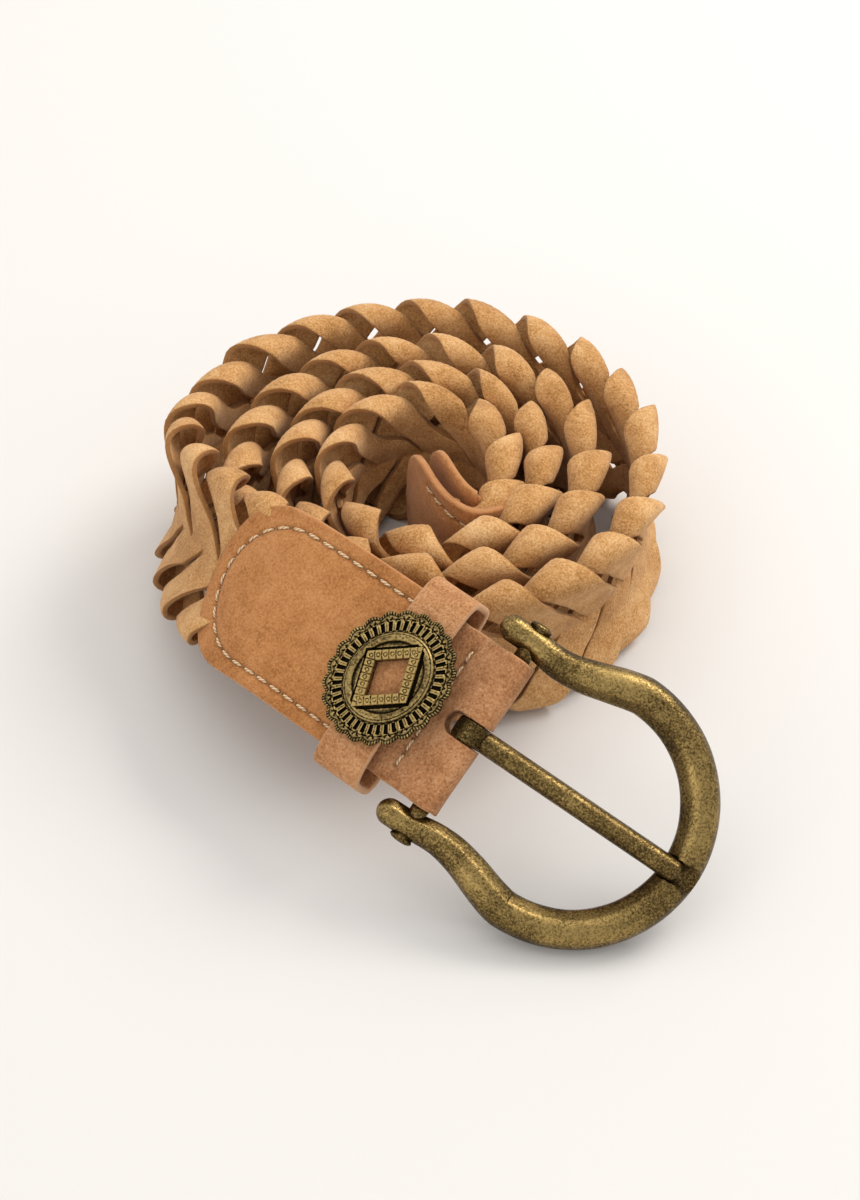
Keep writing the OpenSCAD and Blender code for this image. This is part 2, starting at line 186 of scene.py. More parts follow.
# ---------------------------------------------------------------- making meshes
def shell(rings, loop=False, **traits):
    """Closed skin over rings of points; the end rings close on their middles unless it loops."""
    m, q, _ = rings.shape
    i, j = np.arange(m if loop else m - 1)[:, None], np.arange(q)[None, :]
    here, there, side = i * q, (i + 1) % m * q, (j + 1) % q
    quads = np.stack([here + j, here + side, there + side, there + j], -1).reshape(-1, 4)
    verts = rings.reshape(-1, 3)
    values = {name: np.broadcast_to(v, (m, q)).reshape(-1) for name, v in traits.items()}
    faces = quads.tolist()
    if not loop:
        verts = np.concatenate([verts, rings[[0, -1]].mean(1)])
        values = {n: np.concatenate([v, v[:q].mean()[None], v[-q:].mean()[None]])
                  for n, v in values.items()}
        j, side, end = j[0], side[0], (m - 1) * q
        faces += np.stack([side, j, 0 * j + m * q], -1).tolist()
        faces += np.stack([end + j, end + side, 0 * j + m * q + 1], -1).tolist()
    a, b, c, d = (verts[quads[:, n]] for n in range(4))
    middle = verts.mean(0)
    volume = (np.cross(b - a, c - a) + np.cross(c - a, d - a)) * (a - middle)
    if volume.sum() < 0:
        faces = [face[::-1] for face in faces]
    return verts, faces, values


def piece(name, shells, body, finish, nodes=(), sharp=None):
    """One object from closed skins, which rides on a body and stands for the CAD nodes named."""
    verts, faces, values, start = [], [], {}, 0
    for part, part_faces, part_values in shells:
        verts.append(part)
        faces += [[v + start for v in face] for face in part_faces]
        for key, value in part_values.items():
            values.setdefault(key, []).append(value)
        start += len(part)
    mesh = bpy.data.meshes.new(name)
    mesh.from_pydata((np.concatenate(verts) / 1000).tolist(), [], faces)
    mesh.polygons.foreach_set("use_smooth", [True] * len(mesh.polygons))
    for key, value in values.items():
        layer = mesh.attributes.new(key, "FLOAT", "POINT")
        layer.data.foreach_set("value", np.concatenate(value).astype(np.float32))
    if sharp:
        mesh.set_sharp_from_angle(angle=math.radians(sharp))
    mesh.materials.append(finish)
    mesh.update()
    made = bpy.data.objects.new(name, mesh)
    bpy.context.scene.collection.objects.link(made)
    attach(made, body)
    if nodes:
        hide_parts(*nodes)
    return made


def cut(made, shells, body):
    """Takes closed skins away from a piece."""
    cutter = piece("cutter", shells, body, made.data.materials[0])
    hollow = made.modifiers.new("hollow", "BOOLEAN")
    hollow.operation, hollow.solver, hollow.object = "DIFFERENCE", "EXACT", cutter
    bpy.context.view_layer.update()
    depsgraph = bpy.context.evaluated_depsgraph_get()
    mesh = bpy.data.meshes.new_from_object(made.evaluated_get(depsgraph))
    made.modifiers.clear()
    made.data = mesh
    bpy.data.objects.remove(cutter)


def strip_profile(n, edge=0.3, thick=1.0, half=5.0):
    """Outline of a strip: n points over each face, and its two cut edges, corners eased."""
    u = np.linspace(-1 + edge / half, 1 - edge / half, n)
    t = thick / 2
    rows = [np.stack([u * half, 0 * u + t], -1), [[half, t - edge], [half, edge - t]],
            np.stack([u[::-1] * half, 0 * u - t], -1), [[-half, edge - t], [-half, t - edge]]]
    rim = np.concatenate([0 * u, [1, 1], 0 * u, [1, 1]])
    rim[[0, n - 1, n + 2, 2 * n + 1]] = 0.5
    return np.concatenate(rows), rim


def wander(s, seed, wave=60.0):
    """Slow unevenness between about -1 and 1: three sines of unlike lengths."""
    r = np.random.default_rng(seed)
    lengths, starts = wave * np.array([1.0, 0.61, 0.37]), r.uniform(0, 2 * np.pi, 3)
    return sum(w * np.sin(2 * np.pi * s / l + p)
               for w, l, p in zip([0.5, 0.35, 0.25], lengths, starts))


# ---------------------------------------------------------------- materials
# sizes in mm of the suede's brushed patches, its broad patches and its pores, and of the brass's
# cloudy patches
brush_mm, patch_mm, pore_mm, cloud_mm = 4.5, 16.0, 1.3, 7.0


def hex_colour(code):
    """sRGB hex to linear RGBA."""
    c = np.array([int(code[i:i + 2], 16) for i in (1, 3, 5)]) / 255
    return (*np.where(c <= 0.04045, c / 12.92, ((c + 0.055) / 1.055) ** 2.4), 1.0)


def add(tree, kind, inputs=None, stops=None, **settings):
    """Adds a node with its settings, and sets or links its inputs; stops fill a colour ramp."""
    made = tree.nodes.new(kind)
    for key, value in settings.items():
        setattr(made, key, value)
    for key, value in (inputs or {}).items():
        if isinstance(value, bpy.types.NodeSocket):
            tree.links.new(value, made.inputs[key])
        else:
            made.inputs[key].default_value = value
    if stops:
        ramp = made.color_ramp
        while len(ramp.elements) < len(stops):
            ramp.elements.new(0.5)
        for element, (at, colour) in zip(ramp.elements, stops):
            element.position, element.color = at, hex_colour(colour)
    return made


def new_material(name):
    """Empty node material and its tree."""
    made = bpy.data.materials.new(name)
    made.use_nodes = True
    made.node_tree.nodes.clear()
    return made, made.node_tree


def finish_material(tree, shader_inputs):
    """Principled shader with its inputs, led to the output."""
    shader = add(tree, "ShaderNodeBsdfPrincipled", shader_inputs)
    add(tree, "ShaderNodeOutputMaterial", {"Surface": shader.outputs[0]})


def suede(name, dark, body, light, edge, grain_mm, speck=0.0, sheen=0.35, lift=0.35):
    """Split hide with its nap raised.

    The eye gets a matt, warm face with a soft bright rim from its nap, mottled where it was
    brushed one way and the other, and a cut edge of another tone. Real nap is about 0.1 mm
    across, so the grain is drawn at about five times that to show.
    """
    made, tree = new_material(name)
    at = add(tree, "ShaderNodeTexCoord").outputs["Object"]
    grain = add(tree, "ShaderNodeTexNoise", {"Vector": at, "Scale": 1000 / grain_mm, "Detail": 3.0,
                                             "Roughness": 0.7}).outputs[0]
    brushed = add(tree, "ShaderNodeTexNoise", {"Vector": at, "Scale": 1000 / brush_mm, "Detail": 4.0,
                                               "Roughness": 0.62, "Distortion": 0.6}).outputs[0]
    patch = add(tree, "ShaderNodeTexNoise", {"Vector": at, "Scale": 1000 / patch_mm,
                                             "Detail": 2.0}).outputs[0]
    tone = add(tree, "ShaderNodeMath", {0: grain, 1: 0.52}, operation="MULTIPLY").outputs[0]
    tone = add(tree, "ShaderNodeMath", {0: brushed, 1: 0.28, 2: tone},
               operation="MULTIPLY_ADD").outputs[0]
    tone = add(tree, "ShaderNodeMath", {0: patch, 1: 0.2, 2: tone}, operation="MULTIPLY_ADD").outputs[0]
    colour = add(tree, "ShaderNodeValToRGB", {"Fac": tone},
                 stops=[(0.38, dark), (0.5, body), (0.62, light)]).outputs["Color"]
    if speck:
        # dark pores, about one in each 1.3 mm
        dots = add(tree, "ShaderNodeTexVoronoi", {"Vector": at, "Scale": 1000 / pore_mm,
                                                  "Randomness": 1.0}).outputs["Distance"]
        near = add(tree, "ShaderNodeMapRange", {0: dots, 1: 0.1, 2: 0.26, 3: speck, 4: 0.0}).outputs[0]
        colour = add(tree, "ShaderNodeMixRGB",
                     {0: near, 1: colour, 2: hex_colour("#6f4a30")}).outputs[0]
    # shade darkens what lies under another strand as painted shade, rim is the cut edge, hole paints shade
    # into a needle hole
    shade = add(tree, "ShaderNodeAttribute", attribute_name="shade").outputs["Fac"]
    shade = add(tree, "ShaderNodeMapRange", {0: shade, 1: -1.0, 2: 1.0, 3: 0.0, 4: 1.0}).outputs[0]
    tint = add(tree, "ShaderNodeValToRGB", {"Fac": shade},
               stops=[(0.0, "#d9cfc4"), (0.5, "#f4efe9"), (1.0, "#ffffff")]).outputs["Color"]
    colour = add(tree, "ShaderNodeMixRGB", {0: 1.0, 1: colour, 2: tint},
                 blend_type="MULTIPLY").outputs[0]
    rim = add(tree, "ShaderNodeAttribute", attribute_name="rim").outputs["Fac"]
    ragged = add(tree, "ShaderNodeMath", {0: brushed, 1: 0.9, 2: -0.45},
                 operation="MULTIPLY_ADD").outputs[0]
    rim = add(tree, "ShaderNodeMath", {0: rim, 1: ragged}, operation="ADD").outputs[0]
    rim = add(tree, "ShaderNodeMapRange", {0: rim, 1: 0.35, 2: 0.95, 3: 0.0, 4: 0.85}).outputs[0]
    colour = add(tree, "ShaderNodeMixRGB", {0: rim, 1: colour, 2: hex_colour(edge)}).outputs[0]
    # painted shade: near black brown in each needle hole
    hole = add(tree, "ShaderNodeAttribute", attribute_name="hole").outputs["Fac"]
    colour = add(tree, "ShaderNodeMixRGB", {0: hole, 1: colour, 2: hex_colour("#3c2413")}).outputs[0]
    height = add(tree, "ShaderNodeMath", {0: brushed, 1: 0.7, 2: grain},
                 operation="MULTIPLY_ADD").outputs[0]
    bump = add(tree, "ShaderNodeBump", {"Height": height, "Strength": lift,
                                        "Distance": 0.0006}).outputs[0]
    finish_material(tree, {"Base Color": colour, "Roughness": 0.94, "Specular IOR Level": 0.18,
                           "Normal": bump, "Sheen Weight": sheen, "Sheen Roughness": 0.45,
                           "Sheen Tint": hex_colour("#f0d8bd")})
    return made


def antique_brass(name, bright, middle, dark, speck_mm, rough):
    """Brass, blackened in a bath and rubbed back by hand.

    The eye gets a dull gold sheen on what stands proud and near black, rougher brown in the
    pits and corners. Its real specks are 0.1 to 0.3 mm across and are drawn a little coarser.
    """
    made, tree = new_material(name)
    at = add(tree, "ShaderNodeTexCoord").outputs["Object"]
    fine = add(tree, "ShaderNodeTexNoise", {"Vector": at, "Scale": 1000 / speck_mm, "Detail": 6.0,
                                            "Roughness": 0.72, "Distortion": 0.4}).outputs[0]
    cloud = add(tree, "ShaderNodeTexNoise", {"Vector": at, "Scale": 1000 / cloud_mm,
                                             "Detail": 3.0}).outputs[0]
    # the attribute is high on what stands proud and low in a cut, where the patina stays; on the frame it
    # also carries a painted highlight along the front of the rod and painted shade behind it
    worn = add(tree, "ShaderNodeAttribute", attribute_name="worn").outputs["Fac"]
    tone = add(tree, "ShaderNodeMath", {0: fine, 1: 0.75}, operation="MULTIPLY").outputs[0]
    tone = add(tree, "ShaderNodeMath", {0: cloud, 1: 0.25, 2: tone},
               operation="MULTIPLY_ADD").outputs[0]
    tone = add(tree, "ShaderNodeMath", {0: worn, 1: 0.3, 2: tone}, operation="MULTIPLY_ADD").outputs[0]
    colour = add(tree, "ShaderNodeValToRGB", {"Fac": tone},
                 stops=[(0.4, dark), (0.53, middle), (0.68, bright)]).outputs["Color"]
    gloss = add(tree, "ShaderNodeMapRange",
                {0: tone, 1: 0.35, 2: 0.7, 3: rough + 0.2, 4: rough}).outputs[0]
    bump = add(tree, "ShaderNodeBump", {"Height": fine, "Strength": 0.16,
                                        "Distance": 0.0004}).outputs[0]
    finish_material(tree, {"Base Color": colour, "Metallic": 1.0, "Roughness": gloss, "Normal": bump})
    return made


def thread_material():
    """Waxed polyester thread of two twisted plies.

    The eye gets a cream cord with a faint gloss, painted shade in brown in the lay between its plies and
    painted light on their crests.
    """
    made, tree = new_material("waxed_polyester_thread")
    # painted shade in the lay between the plies, painted light on their crests
    ply = add(tree, "ShaderNodeAttribute", attribute_name="ply").outputs["Fac"]
    colour = add(tree, "ShaderNodeValToRGB", {"Fac": ply},
                 stops=[(0.0, "#7c5c3a"), (0.45, "#cfae83"), (1.0, "#ead2ab")]).outputs["Color"]
    at = add(tree, "ShaderNodeTexCoord").outputs["Object"]
    fuzz = add(tree, "ShaderNodeTexNoise", {"Vector": at, "Scale": 3000.0, "Detail": 2.0}).outputs[0]
    bump = add(tree, "ShaderNodeBump", {"Height": fuzz, "Strength": 0.2, "Distance": 0.0003}).outputs[0]
    finish_material(tree, {"Base Color": colour, "Roughness": 0.6, "Normal": bump, "Sheen Weight": 0.2})
    return made


braid_suede = suede("split_suede_brushed", "#a2733f", "#cf9c62", "#e8c08c", "#8f6136", 0.5, lift=0.6)
panel_suede = suede("split_suede_ochre", "#9a6536", "#bb804c", "#cc9562", "#b98355", 0.55, lift=0.35)
chape_suede = suede("split_suede_pinkish", "#94643f", "#b9845a", "#d2a278", "#bf9068", 0.6,
                    speck=0.5, lift=0.5)
keeper_suede = suede("split_suede_pale", "#9c6b44", "#c08b5e", "#d8a87e", "#cda079", 0.6,
                     speck=0.4, lift=0.5)
thread = thread_material()
frame_brass = antique_brass("cast_brass_antiqued", "#a58b55", "#594829", "#1d160b", 0.5, 0.27)
concho_brass = antique_brass("struck_brass_antiqued", "#ad945e", "#51442b", "#1b160d", 0.55, 0.36)


# ---------------------------------------------------------------- braid
thong_from, thong_to = tip_len - thong_tuck, tab_far + thong_tuck
fold_c, fold_arc = braid_half - fold_r, math.pi * fold_r / 2
sheet_h = 2 * (fold_c + fold_arc)
braid_angle = math.atan(2 * sheet_h / braid_period)
# a fold's half length along the belt's edge, and how far its crest rises, rounds off and opens
leaf_half, leaf_rise, leaf_round, leaf_cone = 6.5, 1.9, 1.6, 0.46


def open_braid(s):
    """How far a thong is out of the panels: 0 under them, 1 in the open braid."""
    return np.minimum(smooth((s - thong_from) / thong_tuck), smooth((thong_to - s) / thong_tuck))


def sheet(v0):
    """Section of a sheet folded round both edges of the belt: across, and out of its middle.

    It is a half circle at each edge. From there it sinks in each face towards the belt's
    middle, and drops to the other face by the fourth power of the way that is left.
    """
    j = np.round(v0 / sheet_h)
    v = v0 - j * sheet_h
    q, side = np.abs(v), 1 - 2 * (j % 2)
    a = np.pi / 2 * np.minimum(q / fold_arc, 1)
    u = np.clip((q - fold_arc) / (sheet_h / 2 - fold_arc), 0, 1)
    across = np.where(q < fold_arc, fold_c + fold_r * np.cos(a), fold_c - q + fold_arc)
    out = np.where(q < fold_arc, fold_r * np.sin(a), (fold_r - braid_sink * smooth(u / 0.6)) * (1 - u ** 4))
    return side * across, np.sign(v) * out, side * np.cos(np.pi * v / sheet_h)


def make_thong(k):
    """Straight ribbon laid on the folded sheet, so that it comes to each edge behind the others.

    Each fold is a leaf. Its crest rises along the strap, falls away at both ends by the square
    of the way from its middle, and its fold opens towards the high end, like a cone. Its cut
    edges bend down into the braid, and its width, run and height wander a little.
    """
    s = np.linspace(thong_from, thong_to, int((thong_to - thong_from) / braid_period * 90))[:, None]
    outline, rim = strip_profile(17, 0.16, thong_cut, thong_w / 2)
    x = outline[None, :, 0] * (0.97 + 0.06 * wander(s, 50 + k, 55))
    x = x + 0.18 * np.sign(x) * rim[None] * wander(s, 70 + k, 7)
    way = 2 * sheet_h * (s / braid_period + k / strands - 0.25)
    way = way + 0.8 * open_braid(s) * wander(s, 10 + k, 90)
    v, here = way + x * math.cos(braid_angle), s - x * math.sin(braid_angle)
    e = open_braid(here)
    (w, n, facing), (w1, n1, _), (w0, n0, _) = sheet(v), sheet(v + 0.05), sheet(v - 0.05)
    along = unit(np.stack([w1 - w0, n1 - n0], -1))
    fold = np.round(v / sheet_h)
    odd = np.random.default_rng(90 + k).uniform(-1, 1, (4, 64))[:, fold.astype(int)]
    off = v - fold * sheet_h
    leaf = (here - braid_period * (fold / 2 - k / strands + 0.25)) / leaf_half + 0.12 * odd[0]
    near = 0.5 + 0.5 * np.cos(np.pi * np.clip(np.abs(off) / (0.4 * sheet_h), 0, 1))
    crest = (leaf_rise + 0.7 * odd[1]) * leaf - (leaf_round + 0.6 * odd[2]) * leaf ** 2
    side = 1 - 2 * (fold % 2)
    # the belt's weight flattens the leaves that it stands on
    crest = np.where(side < 0, np.minimum(crest, -0.35), crest)
    half = thong_w / 2
    bend = (x / half) ** 2 - 0.3
    lean = -x / half * (0.85 - 0.5 * near)
    z = outline[None, :, 1] - e * facing * (lean - 0.45 * bend * (1 - 0.6 * near))
    w = w * (0.85 + 0.15 * e) - z * along[..., 1] + e * near * side * crest
    n = n * (0.42 + 0.58 * e) * (1 + e * near * (leaf_cone * leaf + 0.22 * odd[3])) + z * along[..., 0]
    section = np.stack([0 * w, w, n], -1).reshape(-1, 1, 3)
    p = place(strap(here.reshape(-1)), section).reshape(*w.shape, 3)
    # a leaf of the coil gives way where the keeper slides along the back of the tab
    q = (p - bar_at) @ tab_turn
    behind = ((np.abs(q[..., 0] - sweep_at) < sweep_half) & (np.abs(q[..., 1]) < sweep_wide)
              & (q[..., 2] < sweep_from))
    q[..., 2] = np.where(behind, np.minimum(q[..., 2], keeper_low - sweep_clear), q[..., 2])
    p = on_tab(q)
    # painted shade where the thong runs under the crossing strands and on the tucked low end of each leaf,
    # painted light on its raised end, over tone that wanders along the thong
    way_in = np.abs(off / sheet_h)
    under = smooth((way_in - 0.28) / 0.2)
    shade = 0.45 * wander(s, 60 + k, 33) + 0.5 * near * leaf - 0.7 * under + 0.1
    made = shell(p, rim=rim[None] + 0 * x, shade=np.clip(shade, -1, 1))
    piece(f"braid_thong_{k + 1}", [made], "strap", braid_suede, [f"thong_{k + 1}"])


# ---------------------------------------------------------------- stitches
# where a stitch leaves its needle hole and where it goes into the next, in parts of the pitch
stitch_ends = np.array([0.14, 0.86])
seam_body = {"tab_stitching": "strap", "tip_stitching": "strap", "chape_stitching": "strap",
             "keeper_stitching": "keeper"}


def stitches(name, a, b, up, node, rise=0.28, lay_mm=1.1):
    """Each stitch is a two-ply cord that comes out of one needle hole and goes into the next."""
    turns, around = 15, 10
    q, phi = np.linspace(0, 1, turns), np.linspace(0, 2 * np.pi, around, endpoint=False)
    made = []
    for start, stop, top in zip(a, b, up):
        run, top = unit(stop - start), unit(top)
        side = np.cross(run, top)
        bow = rise * np.sin(np.pi * q) ** 0.6 - 0.35 * (1 - np.sin(np.pi * q)) ** 3
        middle = start + q[:, None] * (stop - start) + bow[:, None] * top
        length = np.linalg.norm(stop - start)
        lay = np.cos(2 * phi[None] - 2 * np.pi * q[:, None] * length / lay_mm)
        r = thread_d / 2 * (1 + 0.16 * lay) * (0.75 + 0.25 * np.sin(np.pi * q))[:, None]
        ring = (r * np.cos(phi))[..., None] * side + (r * 0.8 * np.sin(phi))[..., None] * top
        # the lay paints shade into the grooves between the plies and light onto their crests
        made.append(shell(middle[:, None] + ring, ply=0.5 + 0.5 * lay))
    piece(name, made, seam_body[node], thread, [node])


# ---------------------------------------------------------------- stitched panels
def tongue_half(x, half):
    """Half width at x from the rounded end: a superellipse as long as the tongue, then straight."""
    return half * (1 - np.clip(1 - x / tongue_len, 0, 1) ** 2.4) ** (1 / 2.4)


def seam_line(length, stop_short):
    """Needle line: down one side, round the tongue at an even inset, up the other side."""
    half = belt_w / 2 - seam_inset
    x = np.linspace(length - stop_short, tongue_len + seam_inset, 300)
    a = np.linspace(np.pi / 2, -np.pi / 2, 300)
    line = np.concatenate([np.stack([x, 0 * x + half], -1),
                           np.stack([seam_inset + tongue_len * (1 - np.cos(a)),
                                     half * np.sin(a)], -1),
                           np.stack([x[::-1], 0 * x - half], -1)])
    length_on = np.concatenate([[0], np.cumsum(np.linalg.norm(np.diff(line, axis=0), axis=1))])
    count = int(length_on[-1] / stitch_pitch)
    holes = (np.arange(count)[:, None] + stitch_ends) * length_on[-1] / count
    return line, np.stack([np.interp(holes, length_on, line[:, i]) for i in (0, 1)], -1)


def nearest(p, marks):
    """Distance from each point to the closest of the marks."""
    flat, best = p.reshape(-1, 2), []
    for rows in np.array_split(flat, 16):
        best.append(np.sqrt(((rows[:, None] - marks[None]) ** 2).sum(-1).min(1)))
    return np.concatenate(best).reshape(p.shape[:-1])


def make_panels(name, s0, length, way, both_round, stop_short):
    """Front and back panel and their seam.

    Across each, the outer face has an eased rim, a pressed channel along the needle line, a
    dimple at each needle hole and a soft swell in the middle, over the ends of the thongs.
    """
    line, holes = seam_line(length, stop_short)
    x = np.concatenate([tongue_len * np.linspace(0.03, 1, 60) ** 2,
                        np.linspace(tongue_len, length, int((length - tongue_len) / 0.3))])
    x = np.unique(x)
    if both_round:
        x = np.unique(np.concatenate([x[x < length / 2], length - x[x < length / 2]]))
    free = np.minimum(x, length - x) if both_round else x
    half = tongue_half(free, belt_w / 2)
    u = np.linspace(-1, 1, 121)
    v = 0.75 * u + 0.25 * (1.5 * u - 0.5 * u ** 3)
    inner = np.linspace(0.985, -0.985, 21)
    outline = np.stack([x, half], -1)
    outline = np.concatenate([outline, outline * [1, -1]])
    face_at = np.stack([x[:, None] + 0 * v, half[:, None] * v], -1)
    rim_d, seam_d = nearest(face_at, outline), nearest(face_at, line)
    hole_d = nearest(face_at, holes.reshape(-1, 2))
    ease = 0.8 * (1 - np.sqrt(1 - np.clip(1 - rim_d / 0.8, 0, 1) ** 2))
    swell = 0.35 * smooth((rim_d - seam_inset) / 6)
    channel = 0.32 * np.exp(-(seam_d / 0.75) ** 2) + 0.30 * np.exp(-(hole_d / 0.45) ** 2)
    for side, face in (("front", 1), ("back", -1)):
        uneven = 0.16 * np.sin(face_at[..., 0] / 5.1 + 1) * np.sin(face_at[..., 1] / 4.3 + face)
        # the back lies flat, so that the keeper slides over it
        plump = 1.0 if face > 0 else 0.15
        top = tab_top - ease - channel + plump * (swell + uneven * smooth((rim_d - 2) / 5))
        low = panel_gap / 2 + 0 * (half[:, None] * inner)
        w = np.concatenate([face_at[..., 1], half[:, None] * inner], 1)
        z = np.concatenate([top, low], 1) * face
        p = np.stack([0 * w, w, z], -1)
        rim = np.concatenate([np.clip(1.05 - rim_d / 0.7, 0, 1), low * 0], 1)
        # painted shade in each needle hole of the panel
        hole = np.concatenate([np.exp(-(hole_d / 0.42) ** 2), low * 0], 1)
        edge_dark = -0.5 * np.exp(-(rim_d / 2.2) ** 2) - 0.35 * np.exp(-(seam_d / 0.8) ** 2)
        shade = np.concatenate([edge_dark + 0.25, low * 0], 1)
        made = shell(place(strap(s0 + way * x), p), rim=rim, hole=hole * 0.85, shade=shade)
        piece(f"{name}_panel_{side}", [made], "strap", panel_suede, [f"{name}_{side}_panel"])
    a, b, up = [], [], []
    for face, sunk in ((1, 0.2), (-1, 0.4)):
        at = strap(s0 + way * holes[..., 0].reshape(-1))
        y = holes[..., 1]
        flat = np.stack([0 * y, y, 0 * y + face * (tab_top - sunk)], -1)
        p = place(at, flat.reshape(-1, 1, 3)).reshape(-1, 2, 3)
        a.append(p[:, 0])
        b.append(p[:, 1])
        up.append(face * at[3].reshape(-1, 2, 3)[:, 0])
    stitches(f"{name}_seam", *(np.concatenate(rows) for rows in (a, b, up)), f"{name}_stitching")


# ---------------------------------------------------------------- chape
def make_chape():
    """One strip carried from the front leg's end, round the bar and back.

    Its legs spread by a smooth step from the panels' gap to the bar, it is pressed in along its
    needle lines, and a slot with a round end lets the prong out of the fold.
    """
    leg, fold = panel_gap / 2 - 0.05 - chape_t / 2, bar_d / 2 + pin_clearance + chape_t / 2
    x = np.linspace(-chape_leg, 0, 90)
    rise = leg + (fold - leg) * smooth((x + chape_taper) / chape_taper)
    a = np.linspace(np.pi / 2, -np.pi / 2, 40)[1:-1]
    line = np.concatenate([np.stack([x, rise], -1),
                           np.stack([fold * np.cos(a), fold * np.sin(a)], -1),
                           np.stack([x[::-1], -rise[::-1]], -1)])
    run = unit(np.gradient(line, axis=0))
    out = np.stack([-run[:, 1], run[:, 0]], -1)
    outline, rim = strip_profile(61, 0.28, chape_t, chape_w / 2)
    s = np.cumsum(np.linalg.norm(np.gradient(line, axis=0), axis=1))
    ragged = 1 + 0.006 * wander(s, 71, 9)
    uneven = 0.06 * np.sin(s / 3.7)[:, None] * np.sin(outline[None, :, 0] / 3.1)
    seam_x = -(slot_back + 2)
    needle = np.exp(-((line[:, 0] - seam_x) / 0.7) ** 2)[:, None]
    z = outline[None, :, 1] + uneven - 0.22 * needle * (outline[None, :, 1] > 0)
    y = outline[None, :, 0] * ragged[:, None]
    p = np.stack([line[:, None, 0] + z * out[:, None, 0], y,
                  line[:, None, 1] + z * out[:, None, 1]], -1)
    count = int((chape_w - 6) / stitch_pitch)
    holes = ((np.arange(count) - count / 2)[:, None] + stitch_ends) * stitch_pitch
    # painted shade in each needle hole along the chape's seam
    hole = needle * np.exp(-(np.abs(y[..., None] - holes.reshape(-1)).min(-1) / 0.42) ** 2)
    made = shell(on_tab(p), rim=rim[None] + 0 * y, hole=0.85 * hole, shade=0.2 - 0.35 * needle + 0 * y)
    chape = piece("chape_fold", [made], "strap", chape_suede, ["chape"])
    a = np.linspace(np.pi / 2, 1.5 * np.pi, 25)
    half, past_fold, past_legs = slot_w / 2 - 0.25, 12, 9.0
    slot = np.concatenate([[[past_fold, -half], [past_fold, half]],
                           np.stack([half - slot_seen + half * np.cos(a), half * np.sin(a)], -1)])
    rings = np.stack([np.concatenate([slot, 0 * slot[:, :1] + z], -1)
                      for z in (-past_legs, past_legs)])
    cut(chape, [shell(on_tab(rings))], "strap")
    top = leg + chape_t / 2 - 0.03
    a, b = ([[seam_x, y, f * top] for f in (1, -1) for y in holes[:, i]] for i in (0, 1))
    up = [tab_turn @ [0, 0, f] for f in (1, -1) for _ in range(count)]
    stitches("chape_seam", on_tab(a), on_tab(b), np.array(up), "chape_stitching")


# ---------------------------------------------------------------- keeper
def make_keeper():
    """Strip closed into a flat loop round the tab.

    The loop is a superellipse that stands off both edges of the tab, rounder in front than
    behind, with its points spaced evenly along it.
    """
    points = 260
    t = np.linspace(0, 2 * np.pi, points, endpoint=False)
    top, low = keeper_top, keeper_low
    c, s = np.cos(t), np.sin(t)
    y = keeper_half * np.sign(c) * np.abs(c) ** 0.42
    z = (top + low) / 2 + (top - low) / 2 * np.sign(s) * np.abs(s) ** np.where(s > 0, 0.5, 0.28)
    line = np.stack([y, z], -1)
    steps = np.linalg.norm(np.diff(line, axis=0, append=line[:1]), axis=1)
    length_on = np.concatenate([[0], np.cumsum(steps)])
    even = np.linspace(0, length_on[-1], points, endpoint=False)
    line = np.stack([np.interp(even, length_on, np.append(line[:, i], line[0, i]))
                     for i in (0, 1)], -1)
    run = unit(np.roll(line, -2, 0) - np.roll(line, 2, 0))
    out = np.stack([run[:, 1], -run[:, 0]], -1)
    outline, rim = strip_profile(25, 0.3, keeper_t, keeper_w / 2)
    wide = 1 + 0.02 * np.sin(4 * np.pi * even / even[-1] + 1)[:, None]
    x = -keeper_at + outline[None, :, 0] * wide
    z = outline[None, :, 1] + 0.05 * np.sin(even / 2.9)[:, None] * np.sin(outline[None, :, 0] / 2.3)
    # the suede swells up into the concho's diamond opening
    swell = np.exp(-(line[:, :1] / 4.2) ** 2 - (outline[None, :, 0] / 3.4) ** 2)
    z = z + 1.3 * swell * (line[:, 1:] > 0)
    p = np.stack([x, line[:, None, 0] + z * out[:, None, 0],
                  line[:, None, 1] + z * out[:, None, 1]], -1)
    shade = 0.3 * np.sin(even / 7)[:, None] + 0 * x
    made = shell(on_tab(p), loop=True, rim=rim[None] + 0 * x, shade=shade)
    piece("keeper_strip", [made], "keeper", keeper_suede, ["keeper_loop"])
    # two short rows of three stitches close the loop at its back
    count, pitch, row_y = 3, 3.4, 4
    xs = -keeper_at + ((np.arange(count) - count / 2)[:, None] + stitch_ends) * pitch
    a, b = ([[q, y, low - keeper_t / 2] for y in (-row_y, row_y) for q in xs[:, i]] for i in (0, 1))
    up = np.tile(tab_turn @ [0, 0, -1], (2 * count, 1))
    stitches("keeper_seam", on_tab(a), on_tab(b), up, "keeper_stitching")


